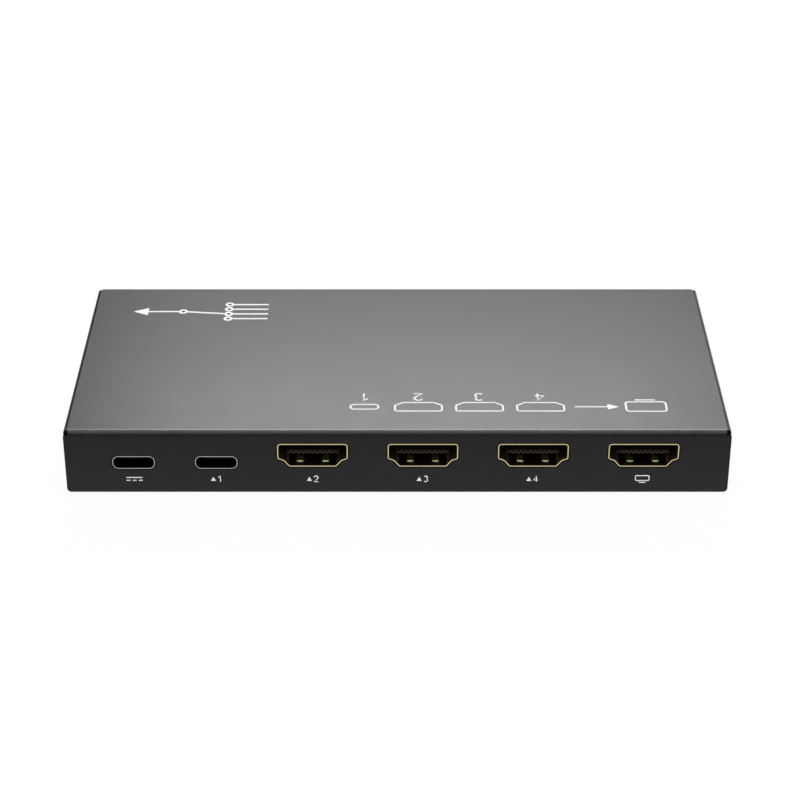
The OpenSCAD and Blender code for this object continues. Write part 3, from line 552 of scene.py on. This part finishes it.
label_z = 4.75 * mm
label_height = 1.4
thin = 0.23
for number, name in enumerate(socket_names):
    if name == "power":
        sign = [lines([[(-1.7, 0.35), (1.7, 0.35)]], thin),
                lines([[(x - 0.4, -0.35), (x + 0.4, -0.35)] for x in (-1.3, 0, 1.3)], thin)]
    elif name == "output":
        sign = screen_sign(2.9, 1.2, thin, y=0.2)
    else:
        sign = [arrow_head(-0.75, 0, 1.0, 1.1), numeral(str(number), label_height, thin, 0.65)]
    stamp(f"{name}_mark", sign, (middle_x(f"{name}_shell"), cover_low.y, label_z), (1, 0, 0), (0, 0, 1))

control_signs = {
    "select_button": [lines([turn(1.0, 50, 280)], thin), arrow_head(1.09, -0.11, 0.9, 0.9, 60)],
    "power_light": [lines([turn(0.95, 125, 290)], thin), lines([[(0, 0.2), (0, 1.25)]], thin)],
    "remote_window": [lines([turn(r, 45, 90, 0, -1.2, 12) for r in (0.8, 1.5, 2.2)], thin)],
}
for digit in digit_strokes:
    control_signs[f"input_light_{digit}"] = [numeral(digit, label_height, thin)]
for name, sign in control_signs.items():
    stamp(f"{name}_mark", sign, (middle_x(name), cover_high.y, label_z), (-1, 0, 0), (0, 0, 1))

bold = 0.6
ring_radius, ring_sweep, ring_steps = 0.75, 345, 23
lane_start, lane_end, lane_step = -15.5, -6.5, 2.3
pole, outlet_end, outlet_arrow = 4.0, 12.0, 3.4
lanes = [(n - 1.5) * lane_step for n in range(4)]
ring_places = [Vector((lane_end, y)) for y in lanes] + [Vector((pole, 0))]
ring_reach = ring_radius + bold / 2
lever = (ring_places[4] - ring_places[2]).normalized() * ring_reach
rings = [turn(ring_radius, 0, ring_sweep, *spot, ring_steps) for spot in ring_places]
selector = [lines(rings, bold, closed=True),
            lines([[(lane_start, y), (lane_end - ring_reach, y)] for y in lanes], bold),
            lines([[ring_places[2] + lever, ring_places[4] - lever]], bold),
            lines([[(pole + ring_reach, 0), (outlet_end, 0)]], bold),
            arrow_head(outlet_end + outlet_arrow / 2, 0, outlet_arrow, outlet_arrow, 0)]
stamp("selector_sign", selector, (-45.2 * mm, 20.6 * mm, cover_high.z), (-1, 0, 0), (0, -1, 0))

fine = 0.42
mouth_row, digit_row, digit_height = 1.6, -2.6, 2.9
legend = screen_sign(8.6, 4.0, fine, -29, 1.5)
legend.append(lines([[(-20.8, mouth_row), (-13.8, mouth_row)]], fine))
legend.append(arrow_head(-22, mouth_row, 2.4, 2.2, 180))
wide_mouth = [(-3.3, -1.8), (3.3, -1.8), (5, -0.6), (5, 1.8), (-5, 1.8), (-5, -0.6)]
for digit, x in (("4", -6.5), ("3", 6.5), ("2", 19.5)):
    legend.append(lines([[(x + a, mouth_row + b) for a, b in wide_mouth]], fine, 0.5, True))
    legend.append(numeral(digit, digit_height, fine, x, digit_row))
oval_mouth = [(28, 0.6), (34, 0.6), (34, 2.6), (28, 2.6)]
legend.append(lines([oval_mouth], fine, 0.95, True))
legend.append(numeral("1", digit_height, fine, 31, digit_row))
stamp("socket_legend", legend, (24 * mm, -21.35 * mm, cover_high.z), (-1, 0, 0), (0, -1, 0))

# Screws of the case. Flat heads with a cross recess, blackened, driven up through the
# bottom plate into the threaded tabs of the cover.
black_steel = plated_metal("black_steel", (0.05, 0.05, 0.053), (0.08, 0.08, 0.083), 0.35)[0]
dress(black_steel, "case_screws")

# Studio. A pale floor that the camera and shiny metal see as white, a bright narrow strip
# behind the box that its top mirrors, soft lights above and in front, a pale card behind
# at the right that brightens that side's fold, and weaker cards at both sides.
floor_reach = 20.0
floor_glow = 0.95
floor_mesh = bpy.data.meshes.new("floor")
corners = [(x * floor_reach, y * floor_reach, 0) for x, y in ((-1, -1), (1, -1), (1, 1), (-1, 1))]
floor_mesh.from_pydata(corners, [], [(0, 1, 2, 3)])
floor = bpy.data.objects.new("floor", floor_mesh)
bpy.context.scene.collection.objects.link(floor)
floor_white = bpy.data.materials.new("floor_white")
floor_white.use_nodes = True
tree = floor_white.node_tree
tree.nodes.remove(tree.nodes["Principled BSDF"])
start = Strand(tree)
matt = start.node("BsdfDiffuse", None, {"Color": (0.9, 0.9, 0.9, 1)})
glow = start.node("Emission", None, {"Strength": 1.0})
seen = start.node("LightPath", output="Is Camera Ray")
mirrored = start.node("LightPath", output="Is Glossy Ray")
through = start.node("LightPath", output="Is Transmission Ray")
shown = start.maths("MINIMUM", seen + mirrored + through, 1.0)
mixed = start.node("MixShader", None, {0: shown * floor_glow, 1: matt, 2: glow})
tree.links.new(mixed.socket, tree.nodes["Material Output"].inputs["Surface"])
floor_mesh.materials.append(floor_white)


def soft_light(name, bearing, climb, distance, size, radiance):
    """A rectangular soft light turned to the box.

    Its bearing is taken from straight behind the box and its climb from level, in degrees.
    """
    lamp = bpy.data.lights.new(name, "AREA")
    lamp.shape = "RECTANGLE"
    lamp.size, lamp.size_y = size
    lamp.energy = radiance * math.pi * size[0] * size[1]
    made = bpy.data.objects.new(name, lamp)
    bearing, climb = math.radians(bearing), math.radians(climb)
    level = math.cos(climb)
    made.location = distance * Vector((level * math.sin(bearing), level * math.cos(bearing), math.sin(climb)))
    made.rotation_euler = (math.pi / 2 - climb, 0, math.pi - bearing)
    bpy.context.scene.collection.objects.link(made)


soft_light("strip_light", 1.5, 36.1, 1.32, (0.54, 0.08), 63.0)
soft_light("top_light", 0, 101.7, 1.0, (0.66, 0.44), 6.5)
soft_light("front_light", 0, 140, 1.0, (0.66, 0.44), 2.7)
soft_light("right_card", 31, 12, 1.2, (0.6, 0.48), 1.3)
for bearing in (-130, -75, 75, 130):
    soft_light(f"side_card_{bearing}", bearing, 24, 1.3, (0.9, 0.5), 1.2)
world = bpy.data.worlds.new("studio")
world.use_nodes = True
background = world.node_tree.nodes["Background"]
background.inputs["Color"].default_value = (1, 1, 1, 1)
background.inputs["Strength"].default_value = 0.15
bpy.context.scene.world = world
bpy.context.scene.view_settings.view_transform = "Standard"

# Last, the placements of all pieces are brought up to date.
bpy.context.view_layer.update()
